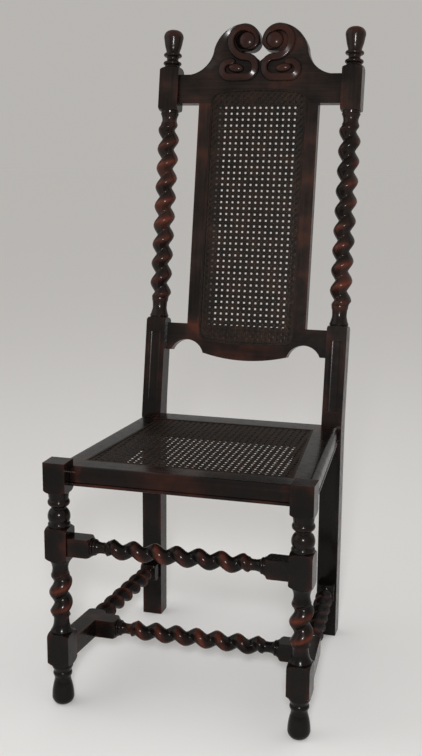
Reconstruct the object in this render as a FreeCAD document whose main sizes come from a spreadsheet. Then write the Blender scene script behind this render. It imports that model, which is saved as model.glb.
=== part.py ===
"""High-back chair with barley-twist posts, a carved scroll crest and caned seat and back.

Millimetres, +Z up. The chair faces -Y, X runs across it, and the origin lies on the floor under the
middle of its box. Pieces are drawn from the line of the front legs. Pieces of the back are drawn on
the raked back: across, behind the front faces of the posts, and up the back from the bend of the posts.
"""
import FreeCAD, Part
import math
import os
import re

import Sketcher

Vector = FreeCAD.Vector
Rotation = FreeCAD.Rotation
ACROSS = Vector(1, 0, 0)
UP = Vector(0, 0, 1)

SIZES = {
    # Plan and heights of the frame
    "front_leg_spread": 442.0,
    "back_post_spread": 383.0,
    "seat_run": 419.0,
    "front_leg_line": -290.25,
    "rake_angle": 10.33,
    "bend_drop": 2.0,
    # Front legs, from the floor up
    "leg_side": 41.0,
    "foot_height": 46.0,
    "foot_radius": 20.2,
    "ankle_length": 36.0,
    "low_block_length": 54.0,
    "low_neck_length": 36.0,
    "leg_twist_length": 79.0,
    "mid_neck_length": 32.0,
    "mid_block_length": 54.0,
    "ball_length": 72.0,
    "seat_block_length": 53.0,
    "pommel_rise": 4.0,
    "pommel_drop": 7.0,
    # Barley twists of legs, posts and stretchers; the start is the angle of the strand at the low end
    "twist_pitch": 40.0,
    "leg_twist_radius": 16.1,
    "leg_twist_throw": 4.5,
    "leg_twist_start": 166.0,
    "post_twist_radius": 16.8,
    "post_twist_throw": 4.9,
    "post_twist_start": -93.0,
    "slim_twist_radius": 13.0,
    "slim_twist_throw": 4.7,
    "slim_twist_start": 100.0,
    # Back posts: depths from front to back, and lengths up the raked back
    "post_width": 41.0,
    "post_depth": 40.0,
    "post_seat_depth": 41.0,
    "post_foot_depth": 37.0,
    "post_bend_reach": 60.0,
    "sawn_lap": 20.0,
    "lower_square_top": 202.0,
    "post_base_length": 44.0,
    "post_twist_length": 366.0,
    "post_head_length": 29.0,
    "top_block_length": 82.0,
    "finial_length": 82.0,
    "flute_bottom": 33.0,
    "flute_length": 142.0,
    "flute_radius": 19.4,
    "flute_depth": 5.0,
    # Stretchers
    "stretcher_side": 34.0,
    "front_stretcher_drop": 2.0,
    "low_stretcher_drop": 7.0,
    "cross_stretcher_line": 120.0,
    "short_block": 38.0,
    "neck_length": 34.0,
    "cross_block": 52.0,
    "side_front_block": 130.0,
    "side_rear_block": 20.0,
    "side_neck_length": 15.0,
    # Seat frame
    "leg_stand": 12.0,
    "rail_height": 34.0,
    "front_rail_face": 3.0,
    "side_rail_inset": 5.5,
    "rear_rail_back": 434.0,
    "rear_rail_round": 4.0,
    "rail_stock": 80.0,
    "bead_radius": 3.0,
    "bead_step": 1.5,
    "thumb_width": 14.0,
    "thumb_height": 12.0,
    "seat_cane_front": 53.0,
    "seat_cane_rear": 387.0,
    "seat_cane_front_width": 383.0,
    "seat_cane_rear_width": 324.0,
    # Caned frame of the back
    "back_setback": 9.0,
    "back_thickness": 22.0,
    "crest_lap": 11.0,
    "lower_rail_lap": 6.5,
    "stile_spread": 251.0,
    "cane_width": 201.0,
    "crest_cane_lap": 30.0,
    "lower_rail_cane_lap": 39.5,
    "cane_arch": 5.0,
    "cane_corner": 20.0,
    # Cane, its ledge and the spline that holds its edge
    "cane_ledge": 18.0,
    "cane_recess": 2.0,
    "cane_thickness": 1.5,
    "spline_width": 4.5,
    "groove_depth": 6.0,
    # Lower back rail
    "lower_rail_depth": 56.0,
    "lower_rail_foot": 158.0,
    "lower_rail_arch_drop": 33.5,
    "lower_rail_arch_place": 122.0,
    "lower_rail_cusp_drop": 59.5,
    "lower_rail_cusp_place": 89.0,
    "lower_rail_bow_drop": 71.5,
    # Crest rail outline and its scrolls
    "crest_end_height": 59.5,
    "crest_dip_place": 147.0,
    "crest_cove_place": 113.0,
    "crest_flank_place": 98.5,
    "crest_flank_drop": 15.5,
    "crest_shoulder_place": 79.5,
    "crest_shoulder_rise": 16.5,
    "volute_place": 37.0,
    "volute_rise": 127.5,
    "volute_radius": 26.5,
    "curl_radius": 12.0,
    "scroll_radius": 8.0,
    "scroll_margin": 0.75,
    "sweep_radius": 34.0,
    "lower_turn_radius": 20.5,
    "lower_run": 34.0,
    "end_turn_radius": 16.0,
    "end_run": 4.0,
    "upper_eye_radius": 17.2,
    "eye_height": 9.5,
    "lower_eye_radius": 9.5,
    "lower_eye_length": 42.0,
    "pierced_drop": 41.5,
    "pierced_tip_angle": 30.0,
    "pierced_bank_angle": 50.0,
    # Joints
    "tenon_thickness": 10.0,
    "tenon_length": 20.0,
    "stile_tenon_length": 15.0,
    "back_tenon_place": 13.0,
    "tenon_edge": 6.0,
    "fit_gap": 0.15,
    "end_gap": 1.0,
    "dowel_radius": 4.0,
    "dowel_length": 36.0,
    "dowel_rise": 9.5,
    "dowel_spacing": 18.0,
    "overrun": 5.0,
}

# Turned outlines in rising order: share of the height of the zone and share of half the block side,
# and for a round stretch also the point that it passes through.
FOOT_SHARES = [(0.00, 0.62), (0.34, 1.00, 0.13, 0.90), (1.00, 0.74, 0.68, 0.92)]
ANKLE_SHARES = [
    (0.16, 0.73), (0.26, 0.76), (0.56, 0.77, 0.44, 0.85), (0.62, 0.78), (0.85, 0.95), (1.00, 0.93),
]
LOW_NECK_SHARES = [(0.08, 0.98), (0.52, 0.70, 0.28, 0.81), (0.80, 0.67), (0.96, 0.70)]
MID_NECK_SHARES = [(0.06, 0.78), (0.40, 0.70, 0.24, 0.72), (0.94, 0.95, 0.68, 0.77), (1.00, 0.93)]
BALL_SHARES = [
    (0.11, 0.95, 0.05, 0.99), (0.15, 0.88), (0.53, 0.67, 0.27, 0.99), (0.58, 0.67),
    (0.61, 0.82), (0.79, 0.86, 0.70, 0.97), (0.83, 0.86), (1.00, 0.93),
]
POST_BASE_SHARES = [(0.08, 0.98), (0.50, 0.74, 0.27, 0.84), (0.78, 0.77), (0.92, 0.85)]
POST_HEAD_SHARES = [(0.06, 0.82), (0.26, 0.76), (0.80, 0.96, 0.50, 0.81), (0.84, 0.90), (1.00, 0.93)]
FINIAL_SHARES = [
    (0.05, 0.80, 0.01, 0.88), (0.08, 0.74), (0.17, 0.74, 0.125, 0.95), (0.30, 0.74, 0.235, 0.60),
    (0.39, 0.74, 0.345, 0.95), (0.44, 0.70), (0.76, 0.99, 0.60, 0.88), (1.00, 0.52, 0.93, 0.90),
]
STRETCHER_NECK_SHARES = [
    (0.10, 0.92, 0.05, 0.97), (0.13, 0.82), (0.30, 0.76, 0.21, 0.87), (0.33, 0.70),
    (0.66, 0.58, 0.48, 0.61), (0.86, 0.60), (0.95, 0.70),
]
CORNER_SHARE = 1.5
SHOULDER_SHARE = 0.93
SHOULDER_BULGE_SHARES = (0.62, 0.25)
QUARTER_SHARE = 1 - math.sqrt(0.5)
CREST_COVE_SHARE = 0.352
TWIST_STEPS = 8
TWIST_FADE_SHARE = 0.25
EYE_PLACE_SHARE = 0.62
OPENING_SHARE = 0.4
SEAT_OPENINGS = (12, 10, 0)
BACK_OPENINGS = (8, 0, 12)

SIDES = (("left", -1), ("right", 1))
LEVELS = (("low", -1), ("high", 1))
ALONG = {"x": Rotation(Vector(0, 1, 0), 90), "y": Rotation(ACROSS, -90)}

# Places that several pieces share, as sums of sizes
LEG_GAP = "((front_leg_spread - leg_side) / 2)"
POST_GAP = "((back_post_spread - post_width) / 2)"
RAIL_BOTTOM = "(rail_top - rail_height)"
RAIL_MIDDLE = "(rail_top - rail_height / 2)"
SIDE_RUN = "(seat_run - leg_side / 2)"
AXIS_SLOPE = f"((front_leg_spread - back_post_spread) / 2 / {SIDE_RUN})"
FACE_SLOPE = f"((front_leg_spread + leg_side - back_post_spread - post_width) / 2 / {SIDE_RUN})"
CANE_SLOPE = "((seat_cane_front_width - seat_cane_rear_width) / 2 / (seat_cane_rear - seat_cane_front))"
CROSS_HALF = f"(front_leg_spread / 2 - {AXIS_SLOPE} * (cross_stretcher_line - leg_side / 2))"
STILE_INNER = "(cane_width / 2 - cane_ledge)"
TENON_BEHIND = "(back_setback + back_tenon_place)"

# Heights that follow from the lengths: of the legs and seat, then up the raked back
PLACES = {
    "low_block_bottom": "foot_height + ankle_length",
    "low_block_top": "low_block_bottom + low_block_length",
    "leg_twist_bottom": "low_block_top + low_neck_length",
    "leg_twist_top": "leg_twist_bottom + leg_twist_length",
    "mid_block_bottom": "leg_twist_top + mid_neck_length",
    "mid_block_top": "mid_block_bottom + mid_block_length",
    "seat_block_bottom": "mid_block_top + ball_length",
    "leg_height": "seat_block_bottom + seat_block_length",
    "rail_top": "leg_height - leg_stand",
    "bend_height": "rail_top - bend_drop",
    "front_stretcher_height": "mid_block_bottom + mid_block_length / 2 - front_stretcher_drop",
    "low_stretcher_height": "low_block_bottom + low_block_length / 2 - low_stretcher_drop",
    "sawn_top": "lower_square_top - sawn_lap",
    "flute_top": "flute_bottom + flute_length",
    "post_twist_bottom": "lower_square_top + post_base_length",
    "post_twist_top": "post_twist_bottom + post_twist_length",
    "top_block_bottom": "post_twist_top + post_head_length",
    "top_block_top": "top_block_bottom + top_block_length",
    "finial_top": "top_block_top + finial_length",
    "crest_bottom": "top_block_bottom + crest_lap",
    "crest_dip": "crest_bottom + crest_end_height",
    "volute_height": "crest_bottom + volute_rise",
    "crest_flank": "volute_height - crest_flank_drop",
    "crest_cove": f"crest_dip + {CREST_COVE_SHARE} * (crest_flank - crest_dip)",
    "crest_shoulder": "volute_height + crest_shoulder_rise",
    "pierced_bottom": "volute_height - pierced_drop",
    "lower_rail_top": "lower_square_top - lower_rail_lap",
    "lower_rail_end": "lower_rail_top - lower_rail_depth",
    "lower_rail_arch": "lower_rail_top - lower_rail_arch_drop",
    "lower_rail_cusp": "lower_rail_top - lower_rail_cusp_drop",
    "lower_rail_bow": "lower_rail_top - lower_rail_bow_drop",
    "cane_top": "crest_bottom + crest_cane_lap",
    "cane_bottom": "lower_rail_top - lower_rail_cane_lap",
}

doc = FreeCAD.newDocument("high_back_chair")
sheet = doc.addObject("Spreadsheet::Sheet", "Sizes")
for row, (alias, value) in enumerate(SIZES.items(), start=1):
    sheet.set(f"A{row}", alias)
    sheet.set(f"B{row}", str(value))
    sheet.setAlias(f"B{row}", alias)
doc.recompute()

pieces = []


# Sums of sizes, and objects bound to them
def formula(text):
    """The text with each name of a size pointing at its cell, and each place written out in sizes."""
    def cell(match):
        word = match[0]
        if word in PLACES:
            return f"({formula(PLACES[word])})"
        return f"Sizes.{word}" if word in SIZES else word

    return re.sub(r"[a-z_]+", cell, text)


def size(text):
    """The present value of a sum of sizes."""
    return float(sheet.evalExpression(formula(text)))


def bind(thing, **texts):
    """Bind properties to the sheet; a double underscore stands for a dot."""
    for path, text in texts.items():
        thing.setExpression(path.replace("__", "."), formula(text))
    return thing


def place(thing, x="0", y="0", z="0", rotation=None):
    """Place an object at sums of sizes."""
    if rotation:
        thing.Placement = FreeCAD.Placement(Vector(), rotation)
    return bind(thing, Placement__Base__x=x, Placement__Base__y=y, Placement__Base__z=z)


def on_back(thing, x="0", behind="0", up="0", line="0"):
    """Lay an object drawn as (across, behind, up) on the raked back."""
    thing.Placement = FreeCAD.Placement(Vector(), Rotation(-ACROSS, size("rake_angle")))
    return bind(
        thing,
        Placement__Rotation__Angle="rake_angle",
        Placement__Base__x=x,
        Placement__Base__y=f"{line} + seat_run + ({behind}) * cos(rake_angle) + ({up}) * sin(rake_angle)",
        Placement__Base__z=f"bend_height - ({behind}) * sin(rake_angle) + ({up}) * cos(rake_angle)",
    )


def piece(thing, label, z="0"):
    """Name a finished piece, and stand it in the frame of the chair."""
    thing.Label = label
    pieces.append(place(thing, y="front_leg_line", z=z))


def back_piece(thing, label, behind):
    """Name a finished flat piece of the back, and lay it there."""
    thing.Label = label
    pieces.append(on_back(thing, behind=behind, line="front_leg_line"))


# Solids and what is done with them
def box(name, length, width, height):
    return bind(doc.addObject("Part::Box", name), Length=length, Width=width, Height=height)


def billet(name, side, bottom, top):
    """A square bar about Z."""
    return place(box(name, side, side, f"{top} - ({bottom})"), f"-{side} / 2", f"-{side} / 2", bottom)


def rod(name, radius, length):
    return bind(doc.addObject("Part::Cylinder", name), Radius=radius, Height=length)


def fuse(name, *parts):
    joined = doc.addObject("Part::MultiFuse", name)
    joined.Shapes = list(parts)
    joined.Refine = True
    return joined


def cut(name, base, *tools):
    carved = doc.addObject("Part::Cut", name)
    carved.Base = base
    carved.Tool = tools[0] if len(tools) == 1 else fuse(f"{name}_tools", *tools)
    return carved


def common(name, base, tool):
    shared = doc.addObject("Part::Common", name)
    shared.Base = base
    shared.Tool = tool
    return shared


# Outlines
def hold(sketch, run, end, corner):
    """Bind the two coordinates of a sketch point to the sheet."""
    for way, text in zip(("DistanceX", "DistanceY"), corner):
        number = sketch.addConstraint(Sketcher.Constraint(way, run, end, size(text)))
        sketch.setExpression(f"Constraints[{number}]", formula(text))


def outline(sketch, corners):
    """A closed outline. A corner is (x, y), with a second (x, y) that a round run to it passes through."""
    points = [[size(text) for text in corner] for corner in corners]
    runs = []
    for number, corner in enumerate(corners):
        start, end = Vector(*points[number - 1][:2]), Vector(*points[number][:2])
        first, last = 1, 2
        if len(corner) == 2:
            run = sketch.addGeometry(Part.LineSegment(start, end), False)
        else:
            through = Vector(*points[number][2:])
            if (through - start).cross(end - start).z < 0:
                first, last = 2, 1
                start, end = end, start
            run = sketch.addGeometry(Part.Arc(start, through, end), False)
            mark = sketch.addGeometry(Part.Point(through), True)
            hold(sketch, mark, 1, corner[2:])
            sketch.addConstraint(Sketcher.Constraint("PointOnObject", mark, 1, run))
        hold(sketch, run, last, corner[:2])
        runs.append((run, first, last))
    for (before, _, before_last), (run, first, _) in zip(runs[-1:] + runs, runs):
        sketch.addConstraint(Sketcher.Constraint("Coincident", before, before_last, run, first))


def slab(name, role, depth, *outlines, backwards=False):
    """A flat body: outlines on one of its origin planes, padded by a depth."""
    body = doc.addObject("PartDesign::Body", name)
    sketch = body.newObject("Sketcher::SketchObject", f"{name}_outline")
    plane = next(feature for feature in body.Origin.OriginFeatures if feature.Role == role)
    sketch.AttachmentSupport = (plane, [""])
    sketch.MapMode = "FlatFace"
    for corners in outlines:
        outline(sketch, corners)
    pad = body.newObject("PartDesign::Pad", f"{name}_pad")
    pad.Profile = sketch
    pad.Reversed = backwards
    bind(pad, Length=depth)
    return body


def back_slab(name, depth, *outlines):
    """A flat body drawn as (across, up) that runs backwards from its face."""
    return slab(name, "XZ_Plane", depth, *outlines, backwards=True)


def turned_back(corners):
    """The same corners in the other order."""
    others = [corners[number - 1][:2] + corners[number][2:] for number in reversed(range(1, len(corners)))]
    return [corners[-1][:2]] + others


def mirrored(corners):
    """The same corners on the other side of the middle."""
    def flip(row):
        return tuple(f"-({text})" if number % 2 == 0 else text for number, text in enumerate(row))

    return [flip(row) for row in corners]


# Turnings and twists about Z
def lathe(name, corners):
    """A turning from an outline of (radius, height)."""
    sketch = doc.addObject("Sketcher::SketchObject", f"{name}_outline")
    sketch.Placement = FreeCAD.Placement(Vector(), Rotation(ACROSS, 90))
    outline(sketch, corners)
    turned = doc.addObject("Part::Revolution", name)
    turned.Source = sketch
    turned.Axis = UP
    turned.Angle = 360
    turned.Solid = True
    return turned


def zone(shares, low, high, half):
    """Corners of a turned zone from its shares."""
    corners = []
    for row in shares:
        texts = []
        for height_share, radius_share in zip(row[::2], row[1::2]):
            texts += [f"{half} * {radius_share}", f"{low} + {height_share} * (({high}) - ({low}))"]
        corners.append(tuple(texts))
    return corners


def shoulder(level, half, sign):
    """The turned neck beside a block, the square of the block, and a point of the rounded run between."""
    out_share, along_share = SHOULDER_BULGE_SHARES
    reach_share = SHOULDER_SHARE + out_share * (CORNER_SHARE - SHOULDER_SHARE)
    neck = (f"{half} * {SHOULDER_SHARE}", f"{level} - {sign} * pommel_rise")
    square = (f"{half} * {CORNER_SHARE}", f"{level} + {sign} * pommel_drop")
    bulge = (f"{half} * {reach_share}", f"{neck[1]} + {sign} * {along_share} * (pommel_rise + pommel_drop)")
    return neck, square, bulge


def block_start(level, half):
    """From the neck under a block to its square."""
    _, square, bulge = shoulder(level, half, 1)
    return [square + bulge]


def block_end(level, half):
    """From the square of a block to the neck over it."""
    neck, square, bulge = shoulder(level, half, -1)
    return [square, neck + bulge]


def twist(name, low, high, kind):
    """A right-hand barley twist: a round strand wound about Z that fades into its necks."""
    radius, throw, start = (size(f"{kind}_twist_{word}") for word in ("radius", "throw", "start"))
    bottom, length, pitch = size(low), size(f"{high} - ({low})"), size("twist_pitch")
    count = round(length / pitch * TWIST_STEPS)
    fade = TWIST_FADE_SHARE * pitch
    rings = []
    for step in range(count + 1):
        along = length * step / count
        swing = throw * min(1, along / fade, (length - along) / fade)
        turn = math.radians(start) + 2 * math.pi * along / pitch
        centre = Vector(swing * math.cos(turn), swing * math.sin(turn), bottom + along)
        rings.append(Part.Wire(Part.makeCircle(radius, centre, UP)))
    strand = doc.addObject("Part::Feature", name)
    strand.Shape = Part.makeLoft(rings, True, True)
    return strand


# Joints: what is added to one piece, and what is cut from the other
def tongue(name, axis, face, sign, length, middles, widths, lay=place):
    """A tenon that leaves a face along an axis, and its mortise."""
    made = []
    for part, before, after, gap in (("tenon", "0", "0", "0"), ("mortise", "overrun", "end_gap", "fit_gap")):
        sides = [f"{width} + 2 * {gap}" for width in widths]
        corner = [f"{middle} - ({width}) / 2 - {gap}" for middle, width in zip(middles, widths)]
        sides.insert(axis, f"{length} + {before} + {after}")
        corner.insert(axis, f"{face} - {before}" if sign > 0 else f"{face} - ({length}) - {after}")
        made.append(lay(box(f"{name}_{part}", *sides), *corner))
    return made


def dowel(name, way, x, y, z):
    """A dowel about a point of a joint face, and its hole."""
    made = []
    for part, gap, spare in (("peg", "0", "0"), ("hole", "fit_gap", "end_gap")):
        length = f"dowel_length + 2 * {spare}"
        start = {"x": x, "y": y, "z": z}
        start[way] += f" - ({length}) / 2"
        bar = rod(f"{name}_{part}", f"dowel_radius + {gap}", length)
        made.append(place(bar, rotation=ALONG[way], **start))
    return made


def bores_at(joint, *sides):
    """The dowel holes of a joint."""
    return [bores[joint, side, level] for side in sides for level, _ in LEVELS]


leg_pegs, post_pegs = [], []
bores = {}
for side, sign in SIDES:
    for level, way in LEVELS:
        height = f"{RAIL_MIDDLE} + {way} * dowel_rise"
        shift = f"side_rail_inset / 2 - {way} * dowel_spacing / 2"
        for pegs, joint, axis, x, y, z in (
            (leg_pegs, "front", "x", f"{sign} * {LEG_GAP}", "(front_rail_face + leg_side / 2) / 2", height),
            (leg_pegs, "leg", "y", f"{sign} * (front_leg_spread / 2 - {shift})", "leg_side / 2", RAIL_MIDDLE),
            (post_pegs, "rear", "x", f"{sign} * {POST_GAP}", "(seat_run + rear_rail_back) / 2", height),
            (post_pegs, "post", "y", f"{sign} * (back_post_spread / 2 - {shift})", "seat_run", RAIL_MIDDLE),
        ):
            peg, bores[joint, side, level] = dowel(f"{side}_{joint}_{level}", axis, x, y, z)
            pegs.append(peg)

tenons, mortises = {}, {}
for side, sign in SIDES:
    stretcher_tenon = ("tenon_thickness", "stretcher_side - 2 * tenon_edge")
    cross_face = f"{sign} * ({CROSS_HALF} - stretcher_side / 2 - tenon_edge)"
    stile_middle = (f"{sign} * (stile_spread / 2 + {STILE_INNER}) / 2", TENON_BEHIND)
    stile_tenon = (f"stile_spread / 2 - {STILE_INNER} - 2 * tenon_edge", "tenon_thickness")
    for joint, axis, face, way, length, middles, widths, lay in (
        ("front", 0, f"{sign} * {LEG_GAP}", sign, "tenon_length",
         ("0", "front_stretcher_height"), stretcher_tenon, place),
        ("low_front", 1, "leg_side / 2", -1, "tenon_length",
         (f"{sign} * front_leg_spread / 2", "low_stretcher_height"), stretcher_tenon, place),
        ("low_rear", 1, "seat_run", 1, "tenon_length",
         (f"{sign} * back_post_spread / 2", "low_stretcher_height"), stretcher_tenon, place),
        ("cross", 0, cross_face, sign, "tenon_length + tenon_edge",
         ("cross_stretcher_line", "low_stretcher_height"), stretcher_tenon, place),
        ("crest", 0, f"{sign} * {POST_GAP}", sign, "tenon_length",
         (TENON_BEHIND, "(crest_bottom + crest_dip) / 2"),
         ("tenon_thickness", "crest_dip - crest_bottom - 2 * tenon_edge"), on_back),
        ("lower", 0, f"{sign} * {POST_GAP}", sign, "tenon_length",
         (TENON_BEHIND, "(lower_rail_end + lower_rail_top) / 2"),
         ("tenon_thickness", "lower_rail_top - lower_rail_end - 2 * tenon_edge"), on_back),
        ("stile_top", 2, "crest_bottom", 1, "stile_tenon_length", stile_middle, stile_tenon, on_back),
        ("stile_foot", 2, "lower_rail_top", -1, "stile_tenon_length", stile_middle, stile_tenon, on_back),
    ):
        made = tongue(f"{side}_{joint}", axis, face, way, length, middles, widths, lay)
        tenons[joint, side], mortises[joint, side] = made


# Front legs: a square bar turned between its blocks, with a barley twist between two of them
def front_leg(side, sign):
    half = "leg_side / 2"
    lower = lathe(f"{side}_leg_lower_turning", [
        ("0", "0"),
        *zone(FOOT_SHARES, "0", "foot_height", "foot_radius"),
        *zone(ANKLE_SHARES, "foot_height", "low_block_bottom - pommel_rise", half),
        *block_start("low_block_bottom", half),
        *block_end("low_block_top", half),
        *zone(LOW_NECK_SHARES, "low_block_top + pommel_rise", "leg_twist_bottom", half),
        ("leg_twist_radius", "leg_twist_bottom"),
        ("0", "leg_twist_bottom"),
    ])
    upper = lathe(f"{side}_leg_upper_turning", [
        ("0", "leg_twist_top"),
        ("leg_twist_radius", "leg_twist_top"),
        *zone(MID_NECK_SHARES, "leg_twist_top", "mid_block_bottom - pommel_rise", half),
        *block_start("mid_block_bottom", half),
        *block_end("mid_block_top", half),
        *zone(BALL_SHARES, "mid_block_top + pommel_rise", "seat_block_bottom - pommel_rise", half),
        *block_start("seat_block_bottom", half),
        (f"{half} * {CORNER_SHARE}", "leg_height"),
        ("0", "leg_height"),
    ])
    strand = twist(f"{side}_leg_twist", "leg_twist_bottom", "leg_twist_top", "leg")
    bar = billet(f"{side}_leg_bar", "leg_side", "0", "leg_height")
    low, high = common(f"{side}_leg_low", lower, bar), common(f"{side}_leg_high", upper, bar)
    whole = place(fuse(f"{side}_leg_whole", low, strand, high), f"{sign} * front_leg_spread / 2")
    sockets = [mortises[joint, side] for joint in ("front", "low_front")]
    return cut(f"{side}_leg", whole, *sockets, *bores_at("front", side), *bores_at("leg", side))


# Back posts: sawn with a bend at the seat, turned and twisted above, with a finial on top
def back_post(side, sign):
    half = "post_depth / 2"
    across = f"{sign} * back_post_spread / 2"
    low_back = ("seat_run + post_seat_depth", "bend_height - post_bend_reach")
    high_back = (
        "seat_run + post_bend_reach * sin(rake_angle) + post_depth * cos(rake_angle)",
        "bend_height + post_bend_reach * cos(rake_angle) - post_depth * sin(rake_angle)",
    )
    bow = (
        f"({low_back[0]} + {high_back[0]}) / 2 - post_bend_reach * tan(rake_angle / 4)",
        f"({low_back[1]} + {high_back[1]}) / 2",
    )
    top_front = ("seat_run + sawn_top * sin(rake_angle)", "bend_height + sawn_top * cos(rake_angle)")
    top_back = (
        f"{top_front[0]} + post_depth * cos(rake_angle)",
        f"{top_front[1]} - post_depth * sin(rake_angle)",
    )
    sawn = slab(f"{side}_post_sawn", "YZ_Plane", "post_width", [
        ("seat_run", "0"), ("seat_run + post_foot_depth", "0"), low_back, high_back + bow,
        top_back, top_front, ("seat_run", "bend_height"),
    ])
    place(sawn, f"{across} - post_width / 2")
    lower = lathe(f"{side}_post_lower_turning", [
        ("0", "sawn_top"),
        (f"{half} * {CORNER_SHARE}", "sawn_top"),
        *block_end("lower_square_top", half),
        *zone(POST_BASE_SHARES, "lower_square_top + pommel_rise", "post_twist_bottom", half),
        ("post_twist_radius", "post_twist_bottom"),
        ("0", "post_twist_bottom"),
    ])
    upper = lathe(f"{side}_post_upper_turning", [
        ("0", "post_twist_top"),
        ("post_twist_radius", "post_twist_top"),
        *zone(POST_HEAD_SHARES, "post_twist_top", "top_block_bottom - pommel_rise", half),
        *block_start("top_block_bottom", half),
        *block_end("top_block_top", half),
        *zone(FINIAL_SHARES, "top_block_top + pommel_rise", "finial_top", half),
        ("0", "finial_top"),
    ])
    strand = twist(f"{side}_post_twist", "post_twist_bottom", "post_twist_top", "post")
    for turning in (lower, upper, strand):
        on_back(turning, across, half)
    bar = box(f"{side}_post_bar", "post_width", "post_depth", "finial_top - sawn_top")
    on_back(bar, f"{across} - post_width / 2", up="sawn_top")
    low, high = common(f"{side}_post_low", lower, bar), common(f"{side}_post_high", upper, bar)
    whole = fuse(f"{side}_post_whole", sawn, low, strand, high)
    flute = on_back(
        rod(f"{side}_flute", "flute_radius", "flute_top - flute_bottom"),
        across, "flute_depth - flute_radius", "flute_bottom")
    sockets = [mortises[joint, side] for joint in ("low_rear", "crest", "lower")]
    return cut(f"{side}_post", whole, flute, *sockets, *bores_at("rear", side), *bores_at("post", side))


# Stretchers: square ends, and a twist between two beaded necks
def stretcher(name, length, first_block, last_block, neck, spare="0"):
    """A stretcher along Z from zero, with spare length at both ends."""
    half = "stretcher_side / 2"
    corner = f"{half} * {CORNER_SHARE}"
    last_level = f"{length} - {last_block}"
    twist_low, twist_high = f"{first_block} + {neck}", f"{last_level} - {neck}"
    low = lathe(f"{name}_low_turning", [
        ("0", f"-{spare}"),
        (corner, f"-{spare}"),
        *block_end(first_block, half),
        *zone(STRETCHER_NECK_SHARES, f"{first_block} + pommel_rise", twist_low, half),
        ("slim_twist_radius", twist_low),
        ("0", twist_low),
    ])
    last_neck = shoulder(last_level, half, 1)[0]
    high = lathe(f"{name}_high_turning", [
        ("0", twist_high),
        *turned_back([
            last_neck,
            *zone(STRETCHER_NECK_SHARES, last_neck[1], twist_high, half),
            ("slim_twist_radius", twist_high),
        ]),
        *block_start(last_level, half),
        (corner, f"{length} + {spare}"),
        ("0", f"{length} + {spare}"),
    ])
    strand = twist(f"{name}_twist", twist_low, twist_high, "slim")
    bar = billet(f"{name}_bar", "stretcher_side", f"-{spare}", f"{length} + {spare}")
    return fuse(f"{name}_whole", common(f"{name}_low", low, bar), strand, common(f"{name}_high", high, bar))


def front_stretcher():
    whole = stretcher("front_stretcher", f"2 * {LEG_GAP}", "short_block", "short_block", "neck_length")
    place(whole, f"-{LEG_GAP}", "0", "front_stretcher_height", ALONG["x"])
    return fuse("front_stretcher", whole, *(tenons["front", side] for side, _ in SIDES))


def side_stretcher(side, sign):
    """The stretcher without its socket: it leans in towards the back, and its ends follow the legs."""
    length = f"{SIDE_RUN} * sqrt(1 + {AXIS_SLOPE}^2)"
    blocks = ("side_front_block", "side_rear_block")
    whole = stretcher(f"{side}_stretcher", length, *blocks, "side_neck_length", "overrun")
    lean = Rotation(UP, sign * math.degrees(math.atan(size(AXIS_SLOPE))))
    place(whole, f"{sign} * front_leg_spread / 2", "leg_side / 2", "low_stretcher_height", lean * ALONG["y"])
    between = box(f"{side}_between_legs", "front_leg_spread", SIDE_RUN, "leg_height")
    place(between, f"({sign} - 1) * front_leg_spread / 2", "leg_side / 2")
    trimmed = common(f"{side}_stretcher_trimmed", whole, between)
    return fuse(f"{side}_stretcher_tenoned", trimmed, tenons["low_front", side], tenons["low_rear", side])


def cross_stretcher(side_bars):
    """The stretcher between the side stretchers, with ends that follow their faces."""
    whole = stretcher("cross_stretcher", f"2 * {CROSS_HALF}", "cross_block", "cross_block", "neck_length")
    place(whole, f"-{CROSS_HALF}", "cross_stretcher_line", "low_stretcher_height", ALONG["x"])
    trimmed = cut("cross_trimmed", whole, *side_bars.values())
    return fuse("cross_stretcher", trimmed, *(tenons["cross", side] for side, _ in SIDES))


# Seat frame
def moulding(outer, sign, inner):
    """Section of a rail from its outer face: a bead below, a thumb moulding above."""
    def inwards(text):
        return f"{outer} + {sign} * ({text})"

    def row(*texts):
        return tuple(inwards(text) if number % 2 == 0 else text for number, text in enumerate(texts))

    return [
        row(inner, RAIL_BOTTOM),
        row("bead_radius", RAIL_BOTTOM),
        row("bead_radius", f"{RAIL_BOTTOM} + 2 * bead_radius", "0", f"{RAIL_BOTTOM} + bead_radius"),
        row("bead_step", f"{RAIL_BOTTOM} + 2 * bead_radius + bead_step"),
        row("bead_step", "rail_top - thumb_height"),
        row("bead_step + thumb_width", "rail_top",
            f"bead_step + {QUARTER_SHARE} * thumb_width", f"rail_top - {QUARTER_SHARE} * thumb_height"),
        row(inner, "rail_top"),
    ]


def seat_panel(inset):
    """Corners of the caned part of the seat, drawn in by an inset."""
    front, rear = f"(seat_cane_front + {inset})", f"(seat_cane_rear - {inset})"
    corners = []
    for sign, line in ((1, front), (1, rear), (-1, rear), (-1, front)):
        half = f"seat_cane_front_width / 2 - {CANE_SLOPE} * ({line} - seat_cane_front)"
        corners.append((f"{sign} * ({half} - {inset} * sqrt(1 + {CANE_SLOPE}^2))", line))
    return corners


seat_recess = slab("seat_recess", "XY_Plane", "cane_recess + overrun", seat_panel("0"))
seat_ring_outlines = (seat_panel("0"), seat_panel("spline_width"))
seat_groove = slab("seat_groove", "XY_Plane", "groove_depth + overrun", *seat_ring_outlines)
seat_cuts = [
    place(seat_recess, z="rail_top - cane_recess"),
    place(seat_groove, z="rail_top - groove_depth"),
]


def front_rail():
    section = moulding("front_rail_face", 1, "seat_cane_front + cane_ledge - front_rail_face")
    stick = place(slab("front_rail_stick", "YZ_Plane", f"2 * {LEG_GAP}", section), f"-{LEG_GAP}")
    return cut("front_rail", stick, *seat_cuts, *bores_at("front", "left", "right"))


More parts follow.
